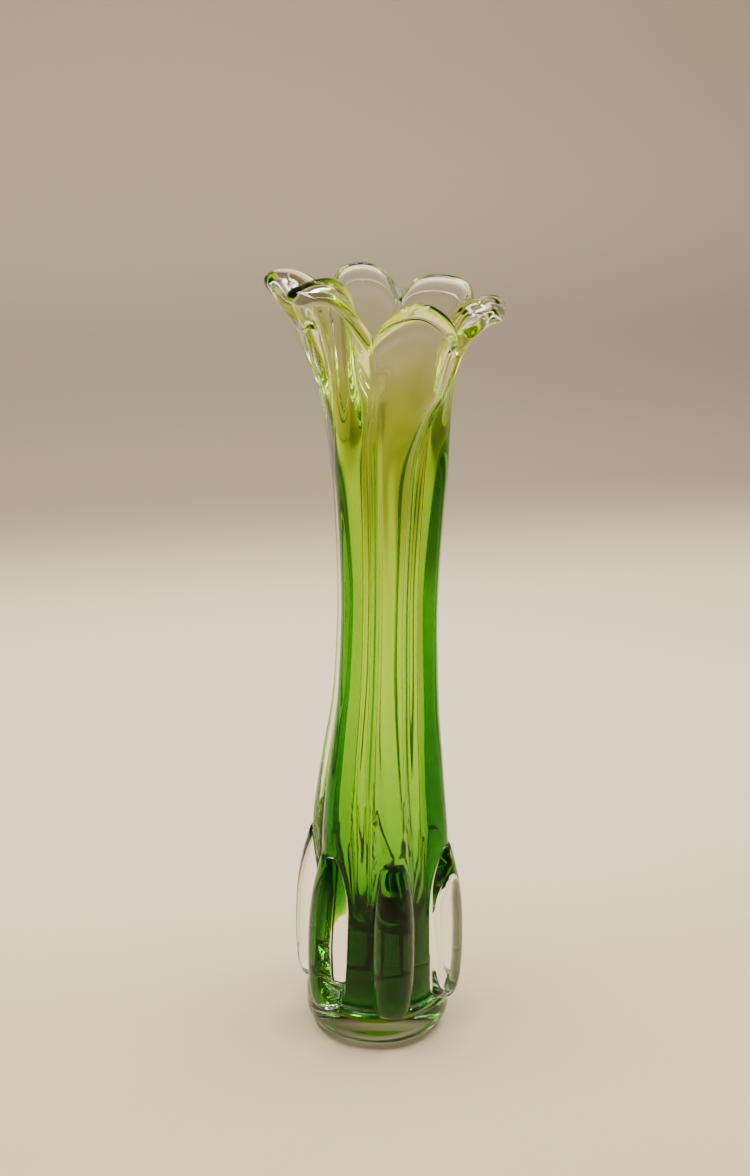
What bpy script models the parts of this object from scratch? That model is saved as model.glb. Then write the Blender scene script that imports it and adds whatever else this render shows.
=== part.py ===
"""Cased glass bud vase, built from its separate gathers of glass.

A green core holds the bore. A clear casing with six ribs wraps it and opens into a mouth of
six petals, three of them rolled outwards. Six clear base lobes are laid on the ribs near the
bottom. The whole stands on a thick clear foot, dished to take the heel of the core.

Metres, +Z up. The origin is the centre of the foot's flat underside. Azimuths are in
degrees from the front (-Y) towards +X, and rib 1 faces the front.
"""

import math

import bmesh
import bpy
import numpy as np

MM = 0.001
RIBS = 6
SECTOR = 360 / RIBS
HALF = SECTOR / 2
SIDES_PER_RIB = 14
GAP = 0.3  # clearance between fused gathers, mm

# Foot, mm
FOOT_RADIUS = 23.85
FOOT_HEIGHT = 14.7
FOOT_EDGE = 8.0
FOOT_SHOULDER = 2.6

# Casing, outside: (crest radius, crest height, groove radius, groove height) up to the lip, mm.
# A crest is the middle of a rib or petal, and a groove is the valley beside it.
CASING_OUTSIDE = [
    (22.0, 15.0, 21.0, 15.0),
    (22.6, 40.0, 20.2, 40.0),
    (23.1, 68.0, 18.2, 68.0),
    (20.7, 95.0, 15.8, 95.0),
    (18.2, 117.0, 13.9, 117.0),
    (17.0, 144.0, 12.9, 144.0),
    (17.4, 165.0, 13.2, 165.0),
    (19.3, 193.0, 14.8, 191.0),
    (21.9, 209.0, 16.9, 205.0),
    (24.8, 220.5, 19.4, 215.5),
    (28.2, 230.0, 21.8, 224.0),
    (31.8, 238.0, 23.8, 231.0),
    (34.4, 243.6, 25.2, 236.0),
]
LIP = [
    (35.2, 246.9, 25.3, 238.6),
    (34.5, 249.4, 24.4, 240.3),
    (32.8, 250.5, 23.0, 240.8),
    (31.1, 249.5, 21.8, 239.9),
]

# Bore, from the lip down to the floor of the hollow: the same four numbers, mm.
BORE = [
    (29.9, 246.6, 20.9, 237.6),
    (27.4, 240.8, 19.6, 232.4),
    (24.1, 233.4, 18.1, 226.0),
    (21.2, 225.6, 16.6, 219.0),
    (18.6, 217.0, 15.0, 211.0),
    (16.6, 206.5, 13.4, 202.5),
    (14.4, 191.5, 11.6, 190.0),
    (12.6, 165.0, 10.1, 165.0),
    (12.2, 146.0, 9.7, 146.0),
    (13.0, 120.0, 10.4, 120.0),
    (14.6, 96.0, 11.9, 96.0),
    (15.6, 76.0, 13.3, 76.0),
    (14.9, 62.0, 13.3, 62.0),
    (12.6, 48.0, 11.9, 48.0),
    (8.8, 39.5, 8.6, 39.5),
    (4.2, 36.3, 4.18, 36.3),
]
BORE_FLOOR = 35.6
CORE_TOP = 2  # the core's top edge is this many lines of BORE below the lip

# Core, outside, from its top edge down to its heel in the foot: the same four numbers, mm.
CORE_OUTSIDE = [
    (25.3, 232.9, 19.2, 225.4),
    (22.2, 225.1, 17.6, 218.5),
    (19.6, 216.6, 15.9, 210.6),
    (17.6, 206.2, 14.4, 202.2),
    (15.7, 191.3, 12.9, 189.8),
    (14.2, 165.0, 11.5, 165.0),
    (13.8, 146.0, 11.2, 146.0),
    (14.8, 120.0, 12.1, 120.0),
    (17.0, 96.0, 14.0, 96.0),
    (18.8, 76.0, 16.0, 76.0),
    (18.6, 62.0, 16.6, 62.0),
    (17.7, 50.0, 16.4, 50.0),
    (16.6, 40.0, 16.0, 40.0),
    (16.2, 30.0, 15.9, 30.0),
    (16.2, 16.0, 16.0, 16.0),
]
HEEL = [(16.4, 12.0), (15.6, 8.8), (13.2, 7.5), (7.0, 7.0)]  # (radius, height), mm
HEEL_BOTTOM = 6.95

# Petals, at the lip, in rib order: turn of the valley before each petal and of its middle (degrees),
# extra height and extra reach (mm). They fade out down the flare.
PETAL_VALLEY_TURN = [7.5, 7.0, 10.0, 8.0, -1.0, 8.0]
PETAL_CREST_TURN = [3.5, 6.0, 6.5, 3.5, 3.5, 4.0]
PETAL_RISE = [0.3, 2.0, -2.3, 0.4, 5.5, 12.0]
VALLEY_RISE = [-3.5, -6.5, -3.0, 0.0, 0.0, -2.0]
PETAL_REACH = [-1.0, -7.6, -0.8, -1.2, -4.0, -10.0]
FLARE_FROM = 190.0
FLARE_TO = 240.0
PETAL_POWER = 2.1
VALLEY_ROUND = 0.6
PETAL_ROUND = [0.45, 0.42, 0.7, 0.62, 0.5, 0.42]
NECK_TURN = -6.5  # the ribs sway this far round between the base and the mouth, degrees
BOW = 1.3  # the neck's axis bows this far towards +X, mm
# Each petal's lip rolls outwards and down from its own height, on its own radius, mm.
ROLL_FROM = [240.0, 240.0, 240.0, 240.0, 243.0, 245.0]
ROLL_RADIUS = [80.0, 5.4, 60.0, 90.0, 8.5, 8.0]
VALLEY_ROLL_FROM = 238.0
VALLEY_RADIUS = [30.0, 20.0, 50.0, 90.0, 30.0, 16.0]
ROLL_CREST = 30.2  # middle of the wall where the roll starts: at a petal, then in a valley, mm
ROLL_GROOVE = 22.8
ROLL_LEAN = 24.0  # how far the wall leans outwards there, degrees

# Base lobe: (height, crest radius, half width), mm
LOBE = [
    (12.6, 25.2, 2.8),
    (13.6, 26.4, 4.6),
    (15.6, 27.4, 5.7),
    (20.0, 28.3, 6.4),
    (28.0, 28.8, 6.8),
    (38.0, 28.8, 6.9),
    (48.0, 28.2, 6.7),
    (57.0, 26.8, 5.9),
    (65.0, 24.8, 4.4),
    (70.0, 23.2, 2.6),
]
LOBE_SIDES = 20

CLEAR_GLASS = (0.93, 0.96, 0.91, 1.0)
GREEN_GLASS = (0.30, 0.52, 0.06, 1.0)


def clear_scene():
    for thing in list(bpy.data.objects):
        bpy.data.objects.remove(thing, do_unlink=True)


def new_collection(name):
    made = bpy.data.collections.new(name)
    bpy.context.scene.collection.children.link(made)
    return made


def glass(name, colour):
    made = bpy.data.materials.new(name)
    made.use_nodes = True
    shader = made.node_tree.nodes["Principled BSDF"]
    shader.inputs["Base Color"].default_value = colour
    shader.inputs["Roughness"].default_value = 0.03
    shader.inputs["Metallic"].default_value = 0.0
    shader.inputs["Transmission Weight"].default_value = 1.0
    shader.inputs["IOR"].default_value = 1.5
    return made


def between(keys, steps):
    """The keys with steps - 1 more between each pair, on a smooth curve through them all."""
    keys = np.array(keys, float)
    before = np.vstack([2 * keys[0] - keys[1], keys[:-1]])
    after = np.vstack([keys[1:], 2 * keys[-1] - keys[-2]])
    slopes = (after - before) / 2
    lines = []
    for i in range(len(keys) - 1):
        for t in np.arange(steps) / steps:
            lines.append(
                (2 * t**3 - 3 * t**2 + 1) * keys[i]
                + (t**3 - 2 * t**2 + t) * slopes[i]
                + (3 * t**2 - 2 * t**3) * keys[i + 1]
                + (t**3 - t**2) * slopes[i + 1]
            )
    return np.array([*lines, keys[-1]])


def smooth_step(value):
    t = np.clip(value, 0, 1)
    return t * t * (3 - 2 * t)


def around(azimuth, valleys, crests):
    """A number given at each valley and crest, eased between them, at every azimuth."""
    given = np.ravel(np.column_stack([valleys, crests]))
    place = (np.asarray(azimuth) / HALF + 1) % len(given)
    first = np.floor(place).astype(int)
    share = smooth_step(place - first)
    return given[first % len(given)] * (1 - share) + given[(first + 1) % len(given)] * share


def off_rib(azimuths):
    return (azimuths + HALF) % SECTOR - HALF


def outline(azimuths, crest, groove):
    """Radius of the ribbed section: six arcs that meet in grooves."""
    side = np.radians(off_rib(azimuths))
    half = math.radians(HALF)
    centre = (crest**2 - groove**2) / (2 * crest - 2 * groove * math.cos(half))
    arc = crest - centre
    return centre * np.cos(side) + np.sqrt(arc**2 - (centre * np.sin(side)) ** 2)


def ribbed_ring(key, azimuths):
    """One closed line round the vase, in mm, rising to the petals' tops."""
    crest, crest_z, groove, groove_z = key
    share = np.abs(off_rib(azimuths)) / HALF
    shape = around(azimuths, np.full(RIBS, VALLEY_ROUND), PETAL_ROUND)
    petal = (1 - share**PETAL_POWER) ** shape
    height = groove_z + (crest_z - groove_z) * petal
    flare = smooth_step((crest_z - FLARE_FROM) / (FLARE_TO - FLARE_FROM))
    sway = smooth_step((crest_z - 60) / 60) * (1 - smooth_step((crest_z - 185) / 50))
    turn = flare * around(azimuths, PETAL_VALLEY_TURN, PETAL_CREST_TURN) + NECK_TURN * sway
    reach = around(azimuths, np.zeros(RIBS), PETAL_REACH)
    radius = outline(azimuths, crest, groove) + flare * reach
    height = height + flare**2 * around(azimuths, VALLEY_RISE, PETAL_RISE)
    radius, height = rolled(radius, height, azimuths)
    angle = np.radians(azimuths + turn)
    bow = BOW * smooth_step((height - 75) / 50) * (1 - smooth_step((height - 185) / 50))
    return np.column_stack([radius * np.sin(angle) + bow, -radius * np.cos(angle), height])


def rolled(radius, height, azimuths):
    """The radii and heights of a ring with the lip bent outwards, about a circle outside the wall."""
    bend = around(azimuths, 1 / np.array(VALLEY_RADIUS), 1 / np.array(ROLL_RADIUS))
    base = outline(azimuths, ROLL_CREST, ROLL_GROOVE)
    base = base + around(azimuths, np.zeros(RIBS), PETAL_REACH)
    start = around(azimuths, VALLEY_ROLL_FROM + np.array(VALLEY_RISE), ROLL_FROM)
    lean = math.radians(ROLL_LEAN)
    along = (radius - base) * math.sin(lean) + (height - start) * math.cos(lean)
    across = (radius - base) * math.cos(lean) - (height - start) * math.sin(lean)
    arm = 1 / bend - across
    turned = np.maximum(along, 0) * bend
    new_across = 1 / bend - arm * np.cos(turned)
    new_along = np.where(along > 0, arm * np.sin(turned), along)
    return (
        base + new_along * math.sin(lean) + new_across * math.cos(lean),
        start + new_along * math.cos(lean) - new_across * math.sin(lean),
    )


def round_ring(radius, height, azimuths):
    angle = np.radians(azimuths)
    flat = np.full(len(azimuths), height)
    return np.column_stack([radius * np.sin(angle), -radius * np.cos(angle), flat])


def pushed_out(rings, distance):
    """The rings moved off their own surface by the distance, away from the bore."""
    rings = np.array(rings)
    along = np.gradient(rings, axis=0)
    across = np.roll(rings, -1, axis=1) - np.roll(rings, 1, axis=1)
    normals = np.cross(along, across)
    normals /= np.linalg.norm(normals, axis=2, keepdims=True)
    outwards = np.sign(np.sum(normals[:, :, :2] * rings[:, :, :2], axis=(1, 2)))
    return rings + normals * (outwards * distance)[:, None, None]


def loft(name, rings, colour, home, poles=None):
    """A closed solid through rings of equal length, in triangles, so that two lofts a gap apart never cross.

    With poles, both ends close on a point. Without, the last ring joins the first.
    """
    mesh = bmesh.new()
    lines = [[mesh.verts.new(point * MM) for point in ring] for ring in rings]
    pairs = list(zip(lines, lines[1:]))
    if poles is None:
        pairs.append((lines[-1], lines[0]))
    for lower, upper in pairs:
        for i, vertex in enumerate(lower):
            after = (i + 1) % len(lower)
            mesh.faces.new([vertex, lower[after], upper[after]])
            mesh.faces.new([vertex, upper[after], upper[i]])
    if poles is not None:
        for pole, line in zip(poles, (lines[0], lines[-1])):
            tip = mesh.verts.new((pole[0] * MM, pole[1] * MM, pole[2] * MM))
            for i, vertex in enumerate(line):
                mesh.faces.new([vertex, line[(i + 1) % len(line)], tip])
    bmesh.ops.recalc_face_normals(mesh, faces=mesh.faces)
    data = bpy.data.meshes.new(name)
    mesh.to_mesh(data)
    mesh.free()
    if data.polygons:
        data.shade_smooth()
    made = bpy.data.objects.new(name, data)
    made.data.materials.append(colour)
    home.objects.link(made)
    return made


def turned(name, profile, steps, colour, home):
    """A solid of revolution from (radius, height) points that run down the outer side."""
    data = bpy.data.meshes.new(name)
    points = [(radius * MM, 0, height * MM) for radius, height in profile]
    data.from_pydata(points, [(i, i + 1) for i in range(len(points) - 1)], [])
    made = bpy.data.objects.new(name, data)
    made.data.materials.append(colour)
    home.objects.link(made)
    screw = made.modifiers.new("turn", "SCREW")
    screw.steps = steps
    screw.render_steps = steps
    screw.use_merge_vertices = True
    screw.merge_threshold = 0.00001
    screw.use_smooth_shade = True
    return made


def foot_profile(dish, extra=0.0):
    """The foot's outline from the given dish, over the shoulder and rounded edge, to its bottom."""
    shoulder = FOOT_RADIUS - FOOT_SHOULDER
    edge = FOOT_RADIUS - FOOT_EDGE
    points = list(dish)
    for turn in np.radians([90, 60, 30, 0]):
        reach = FOOT_SHOULDER + extra
        points.append(
            (
                shoulder + reach * math.cos(turn),
                FOOT_HEIGHT - FOOT_SHOULDER + reach * math.sin(turn),
            )
        )
    for turn in np.radians([0, 22.5, 45, 67.5, 90]):
        reach = FOOT_EDGE + extra
        points.append((edge + reach * math.cos(turn), FOOT_EDGE - reach * math.sin(turn)))
    points.append((0, -extra))
    return points


def heel_dish():
    """The hollow in the foot that takes the core's heel, from its centre up to the foot's top."""
    rising = [(radius + GAP, height - GAP) for radius, height in reversed(HEEL)]
    brim = HEEL[0][0] + GAP
    return [(0, HEEL_BOTTOM - GAP), *rising, (brim, FOOT_HEIGHT)]


def grid():
    """The azimuths of the lines of each ring, crowded towards the grooves."""
    place = np.arange(SIDES_PER_RIB) * 2 / SIDES_PER_RIB - 1
    offs = HALF * (0.55 * place + 0.45 * np.sin(np.pi / 2 * place))
    return np.concatenate([offs + SECTOR * i for i in range(RIBS)])


def core_outside():
    rings = [ribbed_ring(key, grid()) for key in CORE_OUTSIDE]
    return [*rings, *(round_ring(radius, height, grid()) for radius, height in HEEL)]


def make_core(colour, home):
    """The green gather: a tube with a thick closed bottom, whose inside is the bore."""
    bore = [ribbed_ring(key, grid()) for key in BORE[CORE_TOP:]]
    poles = [(0, 0, BORE_FLOOR), (0, 0, HEEL_BOTTOM)]
    return loft("green_core", [*reversed(bore), *core_outside()], colour, home, poles)


def make_casing(colour, home):
    """The clear gather round the core, ribbed outside, with the petalled lip."""
    outside = [ribbed_ring(key, grid()) for key in between(CASING_OUTSIDE, 2)]
    over = between(CASING_OUTSIDE[-2:] + LIP + BORE[: CORE_TOP + 1], 2)
    lip = [ribbed_ring(key, grid()) for key in over[3:-2]]
    inside = list(pushed_out(core_outside(), GAP)[: len(CORE_OUTSIDE)])
    inside[-1][:, 2] = CASING_OUTSIDE[0][1]
    return loft("clear_casing", [*outside, *lip, *inside], colour, home)


def lobe_body(colour, home):
    """A teardrop that leans on the front rib: circles of changing size stacked up the rib."""
    azimuths = np.arange(0, 360, 360 / LOBE_SIDES)
    rings = []
    for height, crest, half in LOBE:
        ring = round_ring(half, height, azimuths)
        ring[:, 1] -= crest - half
        rings.append(ring)
    first, last = LOBE[0], LOBE[-1]
    poles = [(0, -(line[1] - line[2]), line[0]) for line in (first, last)]
    return loft("base_lobe", rings, colour, home, poles)


def cut(thing, cutter):
    step = thing.modifiers.new(cutter.name, "BOOLEAN")
    step.operation = "DIFFERENCE"
    step.solver = "EXACT"
    step.object = cutter


def lobe_cutters(colour, home):
    """The room that the casing and the foot take from a lobe, with the gap round them."""
    keys = [
        (crest + GAP, crest_z, groove + GAP, groove_z)
        for crest, crest_z, groove, groove_z in between(CASING_OUTSIDE[:4], 2)
    ]
    rings = [ribbed_ring(key, grid()) for key in keys]
    poles = [(0, 0, keys[0][1]), (0, 0, keys[-1][1])]
    casing_room = loft("casing_room", rings, colour, home, poles)
    foot_room = turned("foot_room", foot_profile([(0, FOOT_HEIGHT + GAP)], GAP), 48, colour, home)
    for cutter in (casing_room, foot_room):
        cutter.hide_render = True
        cutter.display_type = "WIRE"
    return casing_room, foot_room


def make_lobes(colour, home, cutters_home):
    """Six alike base lobes, one on each rib, on one shared mesh cut to fit the casing and foot."""
    body = lobe_body(colour, home)
    for cutter in lobe_cutters(colour, cutters_home):
        cut(body, cutter)
    graph = bpy.context.evaluated_depsgraph_get()
    fitted = bpy.data.meshes.new_from_object(body.evaluated_get(graph))
    bpy.data.objects.remove(body, do_unlink=True)
    for i in range(RIBS):
        lobe = bpy.data.objects.new(f"base_lobe_{i + 1}", fitted)
        lobe.rotation_euler.z = math.radians(SECTOR * i)
        home.objects.link(lobe)


def main():
    clear_scene()
    home = new_collection("glass_bud_vase")
    cutters_home = new_collection("cutters")
    clear = glass("clear_glass", CLEAR_GLASS)
    green = glass("green_glass", GREEN_GLASS)
    make_core(green, home)
    make_casing(clear, home)
    make_lobes(clear, home, cutters_home)
    turned("foot", foot_profile(heel_dish()), 72, clear, home)
    bpy.context.view_layer.update()


main()
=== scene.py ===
"""Cased glass bud vase: the look of each gather of glass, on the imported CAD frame.

The glass is fused, so light must cross from one gather to the next without bending. Each piece is a
closed mesh whose outer faces are glass and whose fused faces are clear seams that do nothing to light.
Lengths are in millimetres until a mesh is built. Azimuths are in degrees from the front (-Y)
towards +X, and rib 1 faces the front.
"""

import math

import bmesh
import bpy
import numpy as np
from mathutils import Matrix


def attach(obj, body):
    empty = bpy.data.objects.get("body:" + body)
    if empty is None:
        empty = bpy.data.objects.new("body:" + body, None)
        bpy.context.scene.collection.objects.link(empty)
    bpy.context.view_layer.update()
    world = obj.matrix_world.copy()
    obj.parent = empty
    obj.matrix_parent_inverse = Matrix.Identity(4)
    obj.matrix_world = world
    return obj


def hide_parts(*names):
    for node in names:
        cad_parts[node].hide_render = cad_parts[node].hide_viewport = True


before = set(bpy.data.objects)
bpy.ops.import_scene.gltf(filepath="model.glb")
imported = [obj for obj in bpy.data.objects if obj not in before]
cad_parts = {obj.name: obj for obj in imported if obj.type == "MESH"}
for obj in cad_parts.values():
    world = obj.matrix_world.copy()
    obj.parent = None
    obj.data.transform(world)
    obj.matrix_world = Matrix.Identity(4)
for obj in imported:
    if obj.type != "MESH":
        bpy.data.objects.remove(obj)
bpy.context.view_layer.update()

MM = 0.001
RIBS = 6
SECTOR = 360 / RIBS
HALF = SECTOR / 2
SEAM = 0.03  # room between the facing seams of two gathers, mm
ROW_STEPS = 12  # rows of a mesh from one key to the next
TABLE_STEPS = 8  # rows of a table of heights from one key to the next
EDGE_SAMPLES = 400  # places tried for the edge of a lobe on the casing, and then on the foot
HEEL_SAMPLES = 300
LINES_PER_RIB = 30
LOBE_LINES = 10  # lines from the middle of a rib to the edge of its lobe
CROWDING = 0.45  # how far the grid's lines crowd towards the grooves above the lobes, 0 to 1
LEAST_EDGE = 2.5  # a lobe's edge is never nearer its rib's middle than this in the grid, degrees
FILLET = 0.7  # softness of the join between a rib and the body, mm
HALVINGS = 28  # steps of the search for the ribbed outline

# Casing, outside: (crest radius, crest height, groove radius, groove height, rod radius), mm.
# Each rib is a round rod let into the body. A rod of 0 just meets the next one in the groove.
CASING = [
    (22.0, 14.6, 21.0, 14.6, 8.0),
    (22.6, 40.0, 20.2, 40.0, 7.6),
    (23.1, 68.0, 18.2, 68.0, 6.6),
    (20.7, 95.0, 15.8, 95.0, 5.3),
    (18.2, 117.0, 13.9, 117.0, 4.6),
    (17.0, 144.0, 12.9, 144.0, 4.2),
    (17.4, 165.0, 13.2, 165.0, 4.4),
    (19.3, 193.0, 14.8, 191.0, 5.2),
    (21.9, 209.0, 16.9, 205.0, 6.6),
    (24.8, 220.5, 19.4, 215.5, 8.6),
    (28.2, 230.0, 21.8, 224.0, 0),
    (31.8, 238.0, 23.8, 231.0, 0),
    (34.4, 243.6, 25.2, 236.0, 0),
]
LIP = [
    (35.2, 246.9, 25.3, 238.6, 0),
    (34.5, 249.4, 24.4, 240.3, 0),
    (32.8, 250.5, 23.0, 240.8, 0),
    (31.1, 249.5, 21.8, 239.9, 0),
]
BORE = [
    (29.9, 246.6, 20.9, 237.6, 0),
    (27.4, 240.8, 19.6, 232.4, 0),
    (24.1, 233.4, 18.1, 226.0, 0),
    (21.2, 225.6, 16.6, 219.0, 0),
    (18.6, 217.0, 15.0, 211.0, 0),
    (16.6, 206.5, 13.4, 202.5, 0),
    (14.4, 191.5, 11.6, 190.0, 0),
    (12.6, 165.0, 10.1, 165.0, 0),
    (12.2, 146.0, 9.7, 146.0, 0),
    (13.0, 120.0, 10.4, 120.0, 0),
    (14.6, 96.0, 11.9, 96.0, 0),
    (15.6, 76.0, 13.3, 76.0, 0),
    (14.9, 62.0, 13.3, 62.0, 0),
    (12.6, 48.0, 11.9, 48.0, 0),
    (8.8, 39.5, 8.6, 39.5, 0),
    (4.2, 36.3, 4.18, 36.3, 0),
]
BORE_FLOOR = 35.6
# How far the green stands out from the bore, at a crest and in a groove, for the last line of LIP
# and then for each line of BORE above its closed end, mm. Below those it goes down to its heel in
# the foot by GREEN_BASE, in the same five numbers as CASING.
GREEN_WALL = [
    (0.10, 0.10),
    (0.10, 0.10),
    (0.12, 0.12),
    (0.18, 0.18),
    (0.34, 0.34),
    (0.6, 0.6),
    (1.1, 1.0),
    (1.5, 1.5),
    (1.8, 1.7),
    (1.9, 1.8),
    (2.1, 2.0),
    (2.7, 2.4),
    (3.4, 2.9),
    (3.8, 3.6),
    (5.1, 4.7),
]
GREEN_BASE = [
    (16.6, 40.0, 16.1, 40.0, 0),
    (16.2, 30.0, 15.9, 30.0, 0),
    (16.2, 20.0, 16.0, 20.0, 0),
    (16.4, 12.0, 16.3, 12.0, 0),
    (15.6, 8.8, 15.5, 8.8, 0),
    (13.2, 7.5, 13.1, 7.5, 0),
    (7.0, 7.0, 6.95, 7.0, 0),
]
GREEN_BOTTOM = 6.95
GREEN_EDGE = 2  # rows of the bore from the lip to the green's top edge
GREEN_EDGE_IN = 0.06  # the top edge of each of the green's walls is this share of a row lower

# Petals, at the lip, in rib order. Turns are in degrees, of the valley before each petal and of its
# middle. Rises and reaches are in mm, and all of them fade out down the flare. A smaller ROUND makes
# a broader, flatter arch.
PETAL_VALLEY_TURN = [7.5, 7.0, 10.0, 8.0, -1.0, 8.0]
PETAL_CREST_TURN = [3.5, 6.0, 6.5, 3.5, 3.5, 4.0]
PETAL_RISE = [0.3, 2.0, -2.3, 0.4, 5.5, 12.0]
VALLEY_RISE = [-3.5, -6.5, -3.0, 0.0, 0.0, -2.0]
PETAL_REACH = [-1.0, -7.6, -0.8, -1.2, -4.0, -10.0]
FLARE_FROM = 190.0
FLARE_TO = 240.0
PETAL_POWER = 2.1
VALLEY_ROUND = 0.6
PETAL_ROUND = [0.45, 0.42, 0.7, 0.62, 0.5, 0.42]
# Each petal's lip rolls outwards and down from its own height, on its own radius, mm.
ROLL_FROM = [240.0, 240.0, 240.0, 240.0, 243.0, 245.0]
ROLL_RADIUS = [80.0, 5.4, 60.0, 90.0, 8.5, 8.0]
VALLEY_RADIUS = [30.0, 20.0, 50.0, 90.0, 30.0, 16.0]
VALLEY_ROLL_FROM = 238.0
ROLL_CREST = 30.2  # middle of the wall where the roll starts: at a petal, then in a valley, mm
ROLL_GROOVE = 22.8
ROLL_LEAN = 24.0  # how far the wall leans outwards there, degrees
# Near the lip of some petals the green is this much thicker than GREEN_WALL says, between two
# heights and fading out over the distance given with each, mm.
PETAL_GREEN = [0.0, 0.7, 0.0, 0.0, 0.25, 0.7]
PETAL_GREEN_FROM = (222.0, 12.0)
PETAL_GREEN_TO = (246.0, 5.0)
# Between the base and the mouth the ribs sway round by NECK_TURN, degrees, and the axis bows
# towards +X by BOW, mm. Each place is (height, length of the easing), mm.
NECK_TURN = -6.5
BOW = 1.3
TURN_FROM = (60.0, 60.0)
BOW_FROM = (75.0, 50.0)
NECK_TO = (185.0, 50.0)

# Base lobe: (height, crest radius, half width), mm.
LOBE = [
    (12.6, 25.2, 2.8),
    (13.6, 26.4, 4.6),
    (15.6, 27.4, 5.7),
    (20.0, 28.3, 6.4),
    (28.0, 28.8, 6.8),
    (38.0, 28.8, 6.9),
    (48.0, 28.2, 6.7),
    (57.0, 26.8, 5.9),
    (65.0, 24.8, 4.4),
    (70.0, 23.2, 2.6),
]
LOBE_FROM = 15.0  # a lobe is laid on the casing between these heights, mm
LOBE_TO = 69.0
LOBE_HEEL = [13.25, 13.7, 14.2]  # heights of a lobe's rings on the foot's shoulder, mm
HEEL_CLEAR = 0.1  # room between a lobe's heel and the foot's shoulder, mm
LOBE_PROUD = 0.05  # a lobe ends where it stands out from the casing by less than this, mm
LOBE_CAP = 0.2  # rise of the point that closes each end of a lobe, mm
FOOT_RADIUS = 23.85
FOOT_TOP = 14.57
FOOT_EDGE = 8.0  # radius of the rounded lower edge, mm
FOOT_SHOULDER = 2.6  # radius of the rounded upper edge, mm
FOOT_HOLLOW = [(0.9, 0.05), (0.6, 0.5), (0.3, 0.9)]  # underside: (share of its flat radius, rise in mm)
FOOT_HOLLOW_TOP = 1.0
DISH_BRIM = 0.1  # the dish's last ring below its brim is at least this far down, mm
FOOT_CLEAR = 0.02  # the shoulder keeps this far outside the casing's lower end, mm


# --- Shape -----------------------------------------------------------------------------------------


def between(keys, steps):
    """The keys with steps - 1 more between each pair, on a smooth curve through them all."""
    keys = np.array(keys, float)
    before = np.vstack([2 * keys[0] - keys[1], keys[:-1]])
    after = np.vstack([keys[1:], 2 * keys[-1] - keys[-2]])
    slopes = (after - before) / 2
    lines = []
    for i in range(len(keys) - 1):
        for t in np.arange(steps) / steps:
            lines.append(
                (2 * t**3 - 3 * t**2 + 1) * keys[i]
                + (t**3 - 2 * t**2 + t) * slopes[i]
                + (3 * t**2 - 2 * t**3) * keys[i + 1]
                + (t**3 - t**2) * slopes[i + 1]
            )
    return np.array([*lines, keys[-1]])


def smooth_step(value):
    t = np.clip(value, 0, 1)
    return t * t * (3 - 2 * t)


def around(azimuth, valleys, crests):
    """A number given at each valley and crest, eased between them, at every azimuth."""
    given = np.ravel(np.column_stack([valleys, crests]))
    place = (np.asarray(azimuth) / HALF + 1) % len(given)
    first = np.floor(place).astype(int)
    share = smooth_step(place - first)
    return given[first % len(given)] * (1 - share) + given[(first + 1) % len(given)] * share


def with_rods(keys):
    """The keys with each rod of 0 made the size that just meets the next one in the groove."""
    keys = np.array(keys, float)
    crest, groove = keys[:, 0], keys[:, 2]
    centre = (crest**2 - groove**2) / (2 * crest - 2 * groove * math.cos(math.radians(HALF)))
    keys[:, 4] = np.where(keys[:, 4] > 0, keys[:, 4], crest - centre)
    return keys


def off_rib(azimuth):
    return (azimuth + HALF) % SECTOR - HALF


def outline(azimuth, crest, groove, rod):
    """Radius of the ribbed section: six rods let into a round body, with a small fillet between.

    It is found by halving, since the fillets leave no formula for it.
    """
    side = np.radians(np.abs(off_rib(azimuth)))
    half = math.radians(HALF)
    meeting = (crest**2 - groove**2) / (2 * crest - 2 * groove * math.cos(half))
    centre = np.where(rod > 0, crest - rod, meeting)
    rod = crest - centre
    low = np.zeros_like(side + crest)
    high = low + crest + 3
    for _ in range(HALVINGS):
        middle = (low + high) / 2
        to_body = middle - groove
        to_rod = np.sqrt(middle**2 + centre**2 - 2 * middle * centre * np.cos(side)) - rod
        other = 2 * half - side
        to_next = np.sqrt(middle**2 + centre**2 - 2 * middle * centre * np.cos(other)) - rod
        gap = smooth_min(smooth_min(to_rod, to_next), to_body)
        low = np.where(gap < 0, middle, low)
        high = np.where(gap < 0, high, middle)
    return low


def smooth_min(a, b):
    share = np.clip(0.5 + 0.5 * (b - a) / FILLET, 0, 1)
    return b * (1 - share) + a * share - FILLET * share * (1 - share)


def in_neck(height, start):
    """1 in the neck, easing to 0 at the base and at the mouth. start is where it begins."""
    rising = smooth_step((height - start[0]) / start[1])
    return rising * (1 - smooth_step((height - NECK_TO[0]) / NECK_TO[1]))


def ribbed_ring(key, azimuths, green=0.0):
    """One closed line round the vase, in mm, rising to the petals' tops. green thickens the green."""
    crest, crest_z, groove, groove_z, rod = key
    radius = outline(azimuths, crest, groove, max(rod, 0))
    share = np.abs(off_rib(azimuths)) / HALF
    shape = around(azimuths, np.full(RIBS, VALLEY_ROUND), PETAL_ROUND)
    petal = (1 - share**PETAL_POWER) ** shape
    height = groove_z + (crest_z - groove_z) * petal
    flare = smooth_step((crest_z - FLARE_FROM) / (FLARE_TO - FLARE_FROM))
    turn = flare * around(azimuths, PETAL_VALLEY_TURN, PETAL_CREST_TURN)
    turn = turn + NECK_TURN * in_neck(crest_z, TURN_FROM)
    outwards = flare * np.array(PETAL_REACH) + green * np.array(PETAL_GREEN)
    radius = radius + around(azimuths, np.zeros(RIBS), outwards)
    height = height + flare**2 * around(azimuths, VALLEY_RISE, PETAL_RISE)
    radius, height = rolled(radius, height, azimuths)
    angle = np.radians(azimuths + turn)
    bow = BOW * in_neck(height, BOW_FROM)
    return np.column_stack([radius * np.sin(angle) + bow, -radius * np.cos(angle), height])


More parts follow.
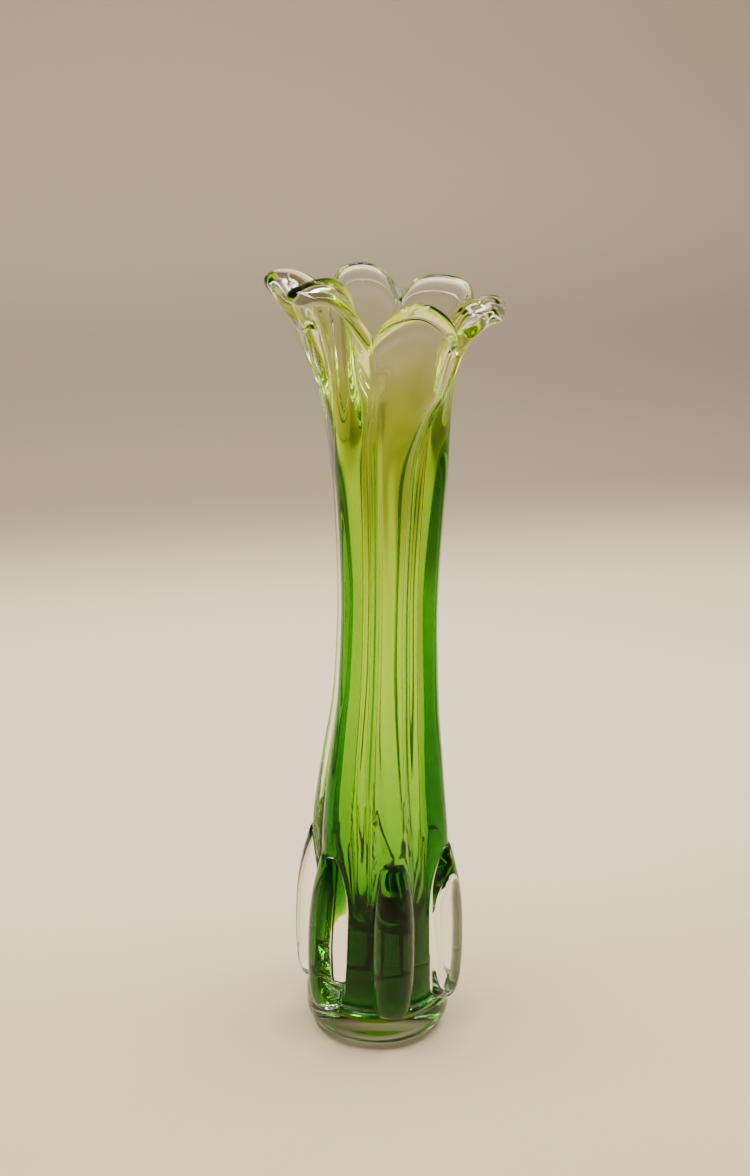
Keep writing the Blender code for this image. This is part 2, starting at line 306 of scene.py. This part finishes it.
def rolled(radius, height, azimuths):
    """The radii and heights of a ring with the lip bent outwards, about a circle outside the wall."""
    bend = around(azimuths, 1 / np.array(VALLEY_RADIUS), 1 / np.array(ROLL_RADIUS))
    base = outline(azimuths, ROLL_CREST, ROLL_GROOVE, 0)
    base = base + around(azimuths, np.zeros(RIBS), PETAL_REACH)
    start = around(azimuths, VALLEY_ROLL_FROM + np.array(VALLEY_RISE), ROLL_FROM)
    lean = math.radians(ROLL_LEAN)
    along = (radius - base) * math.sin(lean) + (height - start) * math.cos(lean)
    across = (radius - base) * math.cos(lean) - (height - start) * math.sin(lean)
    turned = np.maximum(along, 0) * bend
    arm = 1 / bend - across
    new_across = 1 / bend - arm * np.cos(turned)
    new_along = np.where(along > 0, arm * np.sin(turned), along)
    return (
        base + new_along * math.sin(lean) + new_across * math.cos(lean),
        start + new_along * math.cos(lean) - new_across * math.sin(lean),
    )


def round_ring(radius, height, azimuths):
    angle = np.radians(azimuths)
    flat = np.full(len(azimuths), float(height))
    return np.column_stack([radius * np.sin(angle), -radius * np.cos(angle), flat])


def pushed_out(rings, distance):
    """The rings moved off their own surface, away from the bore."""
    along = np.gradient(rings, axis=0)
    across = np.roll(rings, -1, axis=1) - np.roll(rings, 1, axis=1)
    normals = np.cross(along, across)
    normals /= np.linalg.norm(normals, axis=2, keepdims=True)
    outwards = np.sign(np.sum(normals[:, :, :2] * rings[:, :, :2], axis=(1, 2)))
    return rings + normals * (outwards * distance)[:, None, None]


# --- Lines of the grid: they follow the lobes' edges low down, and crowd the grooves higher up ------

GRID_TURNS = (68.0, 26.0)  # from one to the other, above this height and over this length, mm
ABOVE_LOBES = 120.0  # any height where the grid only crowds the grooves, mm


def lobe_at(height):
    table = between(LOBE, TABLE_STEPS)
    crest = np.interp(height, table[:, 0], table[:, 1])
    half = np.interp(height, table[:, 0], table[:, 2])
    return crest, half


def casing_radius(azimuth, height):
    table = between(CASING[:5], TABLE_STEPS)
    crest, groove, rod = (np.interp(height, table[:, 1], table[:, i]) for i in (0, 2, 4))
    return outline(azimuth, crest, groove, rod)


def lobe_radius(off, crest, half):
    centre = crest - half
    side = np.radians(off)
    return centre * np.cos(side) + np.sqrt(np.maximum(half**2 - (centre * np.sin(side)) ** 2, 0))


def lobe_edge(height):
    """The angle off the rib at which a lobe runs into the casing, or 0 where there is no lobe."""
    crest, half = lobe_at(height)
    widest = math.degrees(math.asin(min(half / (crest - half), 1)))
    offs = np.linspace(0, widest, EDGE_SAMPLES)
    proud = lobe_radius(offs, crest, half) - casing_radius(offs, height)
    if proud[0] < LOBE_PROUD:
        return 0.0
    under = np.nonzero(proud < 0)[0]
    return float(offs[under[0]]) if len(under) else widest


def grid_offs(height):
    """Where the lines of one rib's sector lie at this height, from groove to groove, in degrees."""
    index = np.arange(LINES_PER_RIB) - LINES_PER_RIB / 2
    edge = max(lobe_edge(height), LEAST_EDGE) if height < LOBE_TO else LEAST_EDGE
    inner = edge * np.sin(np.pi / 2 * np.clip(index / LOBE_LINES, -1, 1))
    past = np.clip(np.abs(index) - LOBE_LINES, 0, None) / (LINES_PER_RIB / 2 - LOBE_LINES)
    low = inner + np.sign(index) * past * (HALF - edge)
    t = index / (LINES_PER_RIB / 2)
    high = HALF * ((1 - CROWDING) * t + CROWDING * np.sin(np.pi / 2 * t))
    share = smooth_step((height - GRID_TURNS[0]) / GRID_TURNS[1])
    return low * (1 - share) + high * share


def grid_azimuths(height):
    return np.concatenate([grid_offs(height) + SECTOR * i for i in range(RIBS)])


# --- Meshes ----------------------------------------------------------------------------------------


def piece_from(name, points, faces, slots, materials, node=None):
    """A mesh piece from points in mm. slots gives each face's material, by its place in materials."""
    data = bpy.data.meshes.new(name)
    data.from_pydata((np.array(points) * MM).tolist(), [], faces)
    for material in materials:
        data.materials.append(material)
    data.polygons.foreach_set("material_index", slots)
    tidy = bmesh.new()
    tidy.from_mesh(data)
    bmesh.ops.recalc_face_normals(tidy, faces=tidy.faces)
    tidy.to_mesh(data)
    tidy.free()
    data.shade_smooth()
    made = bpy.data.objects.new(name, data)
    bpy.context.scene.collection.objects.link(made)
    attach(made, "root")
    if node:
        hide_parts(node)
    return made


def skin(rings, slot_of, poles=None):
    """(points, faces, slots) through rings of equal length. slot_of(row, line) gives a face's slot."""
    count = len(rings[0])
    points = np.concatenate(rings)
    faces = []
    slots = []
    pairs = [(i, i + 1) for i in range(len(rings) - 1)]
    if poles is None:
        pairs.append((len(rings) - 1, 0))
    for row, (lower, upper) in enumerate(pairs):
        for i in range(count):
            after = (i + 1) % count
            low = [lower * count + place for place in (i, after)]
            high = [upper * count + place for place in (after, i)]
            faces.append((*low, *high))
            slots.append(slot_of(row, i))
    if poles is not None:
        points = np.vstack([points, poles])
        for row, tip in ((0, len(points) - 2), (len(rings) - 1, len(points) - 1)):
            for i in range(count):
                after = (i + 1) % count
                faces.append((row * count + i, row * count + after, tip))
                slots.append(slot_of(row if row == 0 else row - 1, i))
    return points, faces, slots


GLASS, SEAMED = 0, 1


def casing_rows():
    """The lines of the casing's outside, of its lip and of the bore, in the numbers of CASING."""
    rows = between(with_rods(CASING + LIP + BORE), ROW_STEPS)
    count = (len(CASING) - 1) * ROW_STEPS + 1
    lip = (len(LIP) + 1) * ROW_STEPS
    rows[count:, 4] = 0
    return rows[:count], rows[count : count + lip - 1], rows[count + lip - 1 :]


def green_rows():
    """The lines of the green's outside, one for one with the bore's down to where the walls part."""
    keys = []
    for line, wall in zip([LIP[-1], *BORE], GREEN_WALL):
        crest, crest_z, groove, groove_z, _ = line
        keys.append((crest + wall[0], crest_z, groove + wall[1], groove_z, 0))
    return between(keys + GREEN_BASE, ROW_STEPS)[ROW_STEPS + GREEN_EDGE :]


def lobe_rows(outside):
    """The places of the casing's lines that a lobe covers."""
    laid = [i for i, row in enumerate(outside) if LOBE_FROM < row[1] < LOBE_TO]
    return [i for i in laid if lobe_edge(outside[i][1]) > 0]


def make_casing(clear, seam):
    """The clear casing, glass all over but where a lobe, the green or the foot is fused to it."""
    outside, lip, bore = casing_rows()
    outer = [ribbed_ring(row, grid_azimuths(row[1])) for row in outside]
    last = lobe_rows(outside)[-1]
    for i in range(last):
        for rib in range(RIBS):
            middle = rib * LINES_PER_RIB + LINES_PER_RIB // 2
            for line in range(middle - LOBE_LINES + 1, middle + LOBE_LINES):
                spot = outer[i][line]
                spot[:2] *= 1 - SEAM / np.linalg.norm(spot[:2])
    high = grid_azimuths(ABOVE_LOBES)
    over = [ribbed_ring(row, high) for row in lip]
    down = [ribbed_ring(row, high) for row in bore[: GREEN_EDGE + 1]]
    inside = pushed_out(green_outside(high), SEAM)
    inside = [ring for ring in inside if ring[:, 2].min() > FOOT_TOP + 10 * SEAM]
    heel = inside[-1].copy()
    heel[:, 2] = FOOT_TOP + SEAM
    rings = [*outer, *over, *down, *inside, heel]
    seam_from = len(outer) + len(over) + len(down) - 1

    def slot_of(row, line):
        if row >= seam_from:
            return SEAMED
        if row < last and abs(line % LINES_PER_RIB + 0.5 - LINES_PER_RIB / 2) < LOBE_LINES:
            return SEAMED
        return GLASS

    points, faces, slots = skin(rings, slot_of)
    made = piece_from("clear_casing_glass", points, faces, slots, [clear, seam], "clear_casing")
    return made


def green_outside(azimuths):
    rows = green_rows()
    height = rows[:, 1]
    near_lip = smooth_step((height - PETAL_GREEN_FROM[0]) / PETAL_GREEN_FROM[1])
    near_lip = near_lip * smooth_step((PETAL_GREEN_TO[0] - height) / PETAL_GREEN_TO[1])
    return np.array([ribbed_ring(row, azimuths, extra) for row, extra in zip(rows, near_lip)])


def make_core(green):
    """The green core, whose bore and top edge are glass and whose outside is the seam."""
    _, _, bore = casing_rows()
    high = grid_azimuths(ABOVE_LOBES)
    inner = np.array([ribbed_ring(row, high) for row in bore[GREEN_EDGE:]])
    outer = green_outside(high)
    for wall in (inner, outer):
        wall[0] += (wall[1] - wall[0]) * GREEN_EDGE_IN
    rings = [*inner[::-1], *outer]
    seam_from = len(inner) - 1

    def slot_of(row, line):
        return GLASS if row < seam_from else SEAMED

    poles = [(0, 0, BORE_FLOOR), (0, 0, GREEN_BOTTOM)]
    points, faces, slots = skin(rings, slot_of, poles)
    made = piece_from("green_core_glass", points, faces, [0] * len(faces), [green], "green_core")
    mark_seams(made, slots)
    return made


def mark_seams(piece, slots):
    """Tells coloured glass, which needs one material all over, which of its faces are seams."""
    face = piece.data.attributes.new("glass_face", "FLOAT", "FACE")
    face.data.foreach_set("value", [1.0 if slot == GLASS else 0.0 for slot in slots])


def foot_radius(height):
    """Outside radius of the foot at a height near its shoulder."""
    up = np.clip(height - (FOOT_TOP - FOOT_SHOULDER), 0, FOOT_SHOULDER)
    return FOOT_RADIUS - FOOT_SHOULDER + math.sqrt(max(FOOT_SHOULDER**2 - up**2, 0))


def make_lobe(index, clear, seam):
    """One clear lobe: its front is glass, and its back is the seam that lies on the casing."""
    outside, _, _ = casing_rows()
    covered = [outside[i][1] for i in lobe_rows(outside)]
    count = 2 * LOBE_LINES + 1
    turn = np.sin(np.pi / 2 * np.linspace(-1, 1, count))
    rings = []
    for height in [*LOBE_HEEL, outside[0][1], *covered]:
        crest, half = lobe_at(height)
        if height in LOBE_HEEL:
            widest = math.degrees(math.asin(half / (crest - half)))
            offs = np.linspace(0, widest, HEEL_SAMPLES)
            proud = lobe_radius(offs, crest, half) - foot_radius(height)
            under = np.nonzero(proud < 0)[0]
            edge = offs[under[0]] if len(under) else widest
            back = np.full(count, foot_radius(height) + HEEL_CLEAR)
        else:
            edge = max(lobe_edge(height), LEAST_EDGE)
            back = casing_radius(turn * edge, height)
        offs = turn * edge
        front = np.maximum(lobe_radius(offs, crest, half), back)
        azimuths = np.radians(offs + SECTOR * index)
        ring = []
        for radius, angles in ((front, azimuths), (back[::-1], azimuths[::-1])):
            flat = np.full(count, height)
            ring.append(np.column_stack([radius * np.sin(angles), -radius * np.cos(angles), flat]))
        rings.append(np.concatenate([ring[0], ring[1][1:-1]]))
    slots_front = count - 1

    def slot_of(row, line):
        return GLASS if line < slots_front or row < len(LOBE_HEEL) else SEAMED

    first, last = rings[0], rings[-1]
    poles = [first.mean(axis=0) - (0, 0, LOBE_CAP), last.mean(axis=0) + (0, 0, LOBE_CAP)]
    points, faces, slots = skin(rings, slot_of, poles)
    name = f"base_lobe_{index + 1}"
    made = piece_from(f"{name}_glass", points, faces, slots, [clear, seam], name)
    return made


def make_foot(tinted):
    """The foot, with the seams of its dish and of its top, and glass over the rest."""
    azimuths = grid_azimuths(CASING[0][1])
    outline_ring = ribbed_ring(np.array(CASING[0], float), azimuths)
    outline_ring[:, 2] = FOOT_TOP
    radius = np.linalg.norm(outline_ring[:, :2], axis=1, keepdims=True)
    dish = pushed_out(green_outside(azimuths), SEAM)
    rings = [ring for ring in dish[::-1] if ring[:, 2].max() < FOOT_TOP - DISH_BRIM]
    brim = rings[-1].copy()
    brim[:, 2] = FOOT_TOP
    rings += [brim, outline_ring]
    seamed = len(rings) - 1
    for turn in np.radians(np.arange(90, -1, -7.5)):
        reach = FOOT_RADIUS - FOOT_SHOULDER + FOOT_SHOULDER * math.cos(turn)
        height = FOOT_TOP - FOOT_SHOULDER + FOOT_SHOULDER * math.sin(turn)
        ring = round_ring(1.0, height, azimuths)
        ring[:, :2] *= np.maximum(radius + FOOT_CLEAR, reach)
        rings.append(ring)
    for turn in np.radians(np.arange(4, 91, 6.1)):
        reach = FOOT_RADIUS - FOOT_EDGE + FOOT_EDGE * math.cos(turn)
        rings.append(round_ring(reach, FOOT_EDGE - FOOT_EDGE * math.sin(turn), azimuths))
    for share, rise in FOOT_HOLLOW:
        rings.append(round_ring((FOOT_RADIUS - FOOT_EDGE) * share, rise, azimuths))

    def slot_of(row, line):
        return SEAMED if row < seamed else GLASS

    poles = [(0, 0, GREEN_BOTTOM - SEAM), (0, 0, FOOT_HOLLOW_TOP)]
    points, faces, slots = skin(rings, slot_of, poles)
    made = piece_from("foot_glass", points, faces, [0] * len(faces), [tinted], "foot")
    mark_seams(made, slots)
    return made


# --- Materials -------------------------------------------------------------------------------------

IOR = 1.5
CLEAR_TINT = (0.97, 0.985, 0.96, 1.0)
WHITE = (1.0, 1.0, 1.0, 1.0)
REFLECTED = (0.36, 0.4, 0.36, 1.0)  # keeps the pale floor's reflection from greying the base
RIPPLE_STRETCH = (1.0, 1.0, 0.3)  # the ripples of hand-worked glass run along the vase
RIPPLE_SCALE = 110.0
RIPPLE_DETAIL = 2.0
RIPPLE_STRENGTH = 0.06
RIPPLE_DEPTH = 0.0004
GREEN_DENSITY = 1900.0
GREEN_PASSED = (0.862, 0.945, 0.02, 1.0)
FOOT_DENSITY = 21.0
FOOT_PASSED = (0.3, 0.62, 0.2, 1.0)


def material(name):
    made = bpy.data.materials.new(name)
    made.use_nodes = True
    made.node_tree.nodes.clear()
    return made, made.node_tree.nodes, made.node_tree.links


def glass_shader(nodes, links, tint):
    """Smooth refracting glass with faint ripples."""
    shader = nodes.new("ShaderNodeBsdfPrincipled")
    shader.inputs["Base Color"].default_value = tint
    shader.inputs["Roughness"].default_value = 0.0
    shader.inputs["IOR"].default_value = IOR
    shader.inputs["Specular Tint"].default_value = REFLECTED
    shader.inputs["Transmission Weight"].default_value = 1.0
    place = nodes.new("ShaderNodeTexCoord")
    stretch = nodes.new("ShaderNodeMapping")
    stretch.inputs["Scale"].default_value = RIPPLE_STRETCH
    ripple = nodes.new("ShaderNodeTexNoise")
    ripple.inputs["Scale"].default_value = RIPPLE_SCALE
    ripple.inputs["Detail"].default_value = RIPPLE_DETAIL
    bump = nodes.new("ShaderNodeBump")
    bump.inputs["Strength"].default_value = RIPPLE_STRENGTH
    bump.inputs["Distance"].default_value = RIPPLE_DEPTH
    links.new(place.outputs["Object"], stretch.inputs["Vector"])
    links.new(stretch.outputs["Vector"], ripple.inputs["Vector"])
    links.new(ripple.outputs["Fac"], bump.inputs["Height"])
    links.new(bump.outputs["Normal"], shader.inputs["Normal"])
    return shader


def clear_glass():
    made, nodes, links = material("clear_glass")
    out = nodes.new("ShaderNodeOutputMaterial")
    shader = glass_shader(nodes, links, CLEAR_TINT)
    links.new(shader.outputs["BSDF"], out.inputs["Surface"])
    return made


def seam_material():
    """A fused face, which lets light through unbent."""
    made, nodes, links = material("fused_seam")
    out = nodes.new("ShaderNodeOutputMaterial")
    through = nodes.new("ShaderNodeBsdfTransparent")
    links.new(through.outputs["BSDF"], out.inputs["Surface"])
    return made


def coloured_glass(name, passed, density):
    """Glass that soaks up light on the way through. passed is the colour that it lets by."""
    made, nodes, links = material(name)
    out = nodes.new("ShaderNodeOutputMaterial")
    shader = glass_shader(nodes, links, WHITE)
    through = nodes.new("ShaderNodeBsdfTransparent")
    side = nodes.new("ShaderNodeAttribute")
    side.attribute_name = "glass_face"
    mix = nodes.new("ShaderNodeMixShader")
    links.new(side.outputs["Fac"], mix.inputs["Fac"])
    links.new(through.outputs["BSDF"], mix.inputs[1])
    links.new(shader.outputs["BSDF"], mix.inputs[2])
    links.new(mix.outputs["Shader"], out.inputs["Surface"])
    soak = nodes.new("ShaderNodeVolumeAbsorption")
    soak.inputs["Color"].default_value = passed
    soak.inputs["Density"].default_value = density
    links.new(soak.outputs["Volume"], out.inputs["Volume"])
    return made


# --- Camera, floor and light -----------------------------------------------------------------------

# The camera's place, in metres, and its turns, in degrees. The lens and its sensor are in mm.
CAMERA_AZIMUTH = -13.0
CAMERA_AWAY = 0.611
CAMERA_HEIGHT = 0.3693
CAMERA_PITCH = 19.435
CAMERA_YAW = 0.247
CAMERA_ROLL = 0.754
LENS = 63.06
SENSOR = 36.0

# The sweep's floor runs to WALL_AT behind the vase and curves up into a wall, metres. Its colour
# changes along Y over SWEEP_SPAN as painted light and shade, darker in front of the vase, lightest on
# the floor behind it and darkest where it bends up into the wall: (place in the span, colour).
SWEEP_FRONT = -1.2
SWEEP_SIDE = 1.6
WALL_AT = 0.80
WALL_BEND = 0.25
WALL_TOP = 1.6
SWEEP_SPAN = (-0.4, 0.8)
SWEEP_STOPS = [
    (0.2, (0.50, 0.40, 0.265)),
    (0.34, (0.52, 0.415, 0.275)),
    (0.43, (0.62, 0.51, 0.355)),
    (0.57, (0.70, 0.59, 0.425)),
    (0.67, (0.75, 0.62, 0.445)),
    (0.84, (0.36, 0.30, 0.22)),
    (0.93, (0.30, 0.255, 0.187)),
    (1.0, (0.44, 0.375, 0.285)),
]
# The tent of soft light: brightest up and behind, along WORLD_LEAN, darkest below and in front.
WORLD_LEAN = (0.0, 0.62, 0.78)
WORLD_SPAN = (-0.9, 0.9)
WORLD_STRENGTH = 1.1
WORLD_STOPS = [
    (0.0, (0.15, 0.135, 0.12)),
    (0.45, (0.28, 0.25, 0.22)),
    (0.75, (0.75, 0.69, 0.62)),
    (1.0, (0.85, 0.79, 0.72)),
]
# Four strip lights in a frame above: (name, x, y, size along X, size along Y), metres.
STRIPS = [
    ("strip_back", 0.0, 0.24, 0.56, 0.05),
    ("strip_front", 0.0, -0.20, 0.56, 0.05),
    ("strip_left", -0.28, 0.02, 0.05, 0.39),
    ("strip_right", 0.28, 0.02, 0.05, 0.39),
]
STRIP_HEIGHT = 0.60
STRIP_POWER = 3.4
STRIP_COLOUR = (1.0, 0.95, 0.88)


def make_camera():
    data = bpy.data.cameras.new("camera")
    data.lens = LENS
    data.sensor_width = SENSOR
    camera = bpy.data.objects.new("camera", data)
    bpy.context.scene.collection.objects.link(camera)
    turn = math.radians(CAMERA_AZIMUTH)
    place = (CAMERA_AWAY * math.sin(turn), -CAMERA_AWAY * math.cos(turn), CAMERA_HEIGHT)
    camera.matrix_world = (
        Matrix.Translation(place)
        @ Matrix.Rotation(turn + math.radians(CAMERA_YAW), 4, "Z")
        @ Matrix.Rotation(math.radians(90 - CAMERA_PITCH), 4, "X")
        @ Matrix.Rotation(math.radians(CAMERA_ROLL), 4, "Z")
    )
    bpy.context.scene.camera = camera


def ramp_node(nodes, links, source, stops):
    """A colour ramp that reads the source, with stops of (place, colour)."""
    ramp = nodes.new("ShaderNodeValToRGB")
    ramp.color_ramp.interpolation = "EASE"
    for i, (place, colour) in enumerate(stops):
        stop = ramp.color_ramp.elements[i] if i < 2 else ramp.color_ramp.elements.new(place)
        stop.position = place
        stop.color = (*colour, 1.0)
    links.new(source, ramp.inputs["Fac"])
    return ramp


def make_sweep():
    """Floor and wall in one pale sheet, behind and under the vase, with painted light and shade in its
    colour.
    """
    bend_from = WALL_AT - WALL_BEND
    path = [(SWEEP_FRONT, 0.0), (bend_from, 0.0)]
    for turn in np.radians(np.arange(10, 91, 10)):
        rise = WALL_BEND - WALL_BEND * math.cos(turn)
        path.append((bend_from + WALL_BEND * math.sin(turn), rise))
    path.append((WALL_AT, WALL_TOP))
    data = bpy.data.meshes.new("sweep")
    points = [(side, y, z) for y, z in path for side in (-SWEEP_SIDE, SWEEP_SIDE)]
    faces = [(2 * i, 2 * i + 1, 2 * i + 3, 2 * i + 2) for i in range(len(path) - 1)]
    data.from_pydata(points, [], faces)
    data.shade_smooth()
    sweep = bpy.data.objects.new("sweep", data)
    bpy.context.scene.collection.objects.link(sweep)
    made, nodes, links = material("sweep_paper_painted_shade")
    out = nodes.new("ShaderNodeOutputMaterial")
    shader = nodes.new("ShaderNodeBsdfPrincipled")
    shader.inputs["Roughness"].default_value = 0.9
    place = nodes.new("ShaderNodeTexCoord")
    split = nodes.new("ShaderNodeSeparateXYZ")
    links.new(place.outputs["Object"], split.inputs["Vector"])
    back = nodes.new("ShaderNodeMapRange")
    back.inputs["From Min"].default_value = SWEEP_SPAN[0]
    back.inputs["From Max"].default_value = SWEEP_SPAN[1]
    links.new(split.outputs["Y"], back.inputs["Value"])
    # Painted light and shade: the colour follows Y through SWEEP_STOPS, lighter behind the vase, darker
    # in front and at the bend.
    ramp = ramp_node(nodes, links, back.outputs["Result"], SWEEP_STOPS)
    links.new(ramp.outputs["Color"], shader.inputs["Base Color"])
    links.new(shader.outputs["BSDF"], out.inputs["Surface"])
    data.materials.append(made)


def make_world():
    world = bpy.data.worlds.new("tent")
    bpy.context.scene.world = world
    world.use_nodes = True
    nodes, links = world.node_tree.nodes, world.node_tree.links
    nodes.clear()
    out = nodes.new("ShaderNodeOutputWorld")
    sky = nodes.new("ShaderNodeBackground")
    place = nodes.new("ShaderNodeTexCoord")
    lean = nodes.new("ShaderNodeVectorMath")
    lean.operation = "DOT_PRODUCT"
    lean.inputs[1].default_value = WORLD_LEAN
    up = nodes.new("ShaderNodeMapRange")
    up.inputs["From Min"].default_value = WORLD_SPAN[0]
    up.inputs["From Max"].default_value = WORLD_SPAN[1]
    links.new(place.outputs["Generated"], lean.inputs[0])
    links.new(lean.outputs["Value"], up.inputs["Value"])
    ramp = ramp_node(nodes, links, up.outputs["Result"], WORLD_STOPS)
    links.new(ramp.outputs["Color"], sky.inputs["Color"])
    sky.inputs["Strength"].default_value = WORLD_STRENGTH
    links.new(sky.outputs["Background"], out.inputs["Surface"])


def make_strips():
    for name, x, y, wide, deep in STRIPS:
        data = bpy.data.lights.new(name, "AREA")
        data.shape = "RECTANGLE"
        data.size = wide
        data.size_y = deep
        data.energy = STRIP_POWER
        data.color = STRIP_COLOUR
        light = bpy.data.objects.new(name, data)
        light.location = (x, y, STRIP_HEIGHT)
        bpy.context.scene.collection.objects.link(light)


def let_light_through():
    """Enough bounces for light to cross every gather of glass."""
    cycles = bpy.context.scene.cycles
    cycles.max_bounces = 32
    cycles.transmission_bounces = 32
    cycles.glossy_bounces = 16
    cycles.transparent_max_bounces = 64


def main():
    make_camera()
    make_sweep()
    make_world()
    make_strips()
    let_light_through()
    clear, seam = clear_glass(), seam_material()
    make_core(coloured_glass("green_glass", GREEN_PASSED, GREEN_DENSITY))
    make_casing(clear, seam)
    for index in range(RIBS):
        make_lobe(index, clear, seam)
    make_foot(coloured_glass("foot_glass", FOOT_PASSED, FOOT_DENSITY))


main()
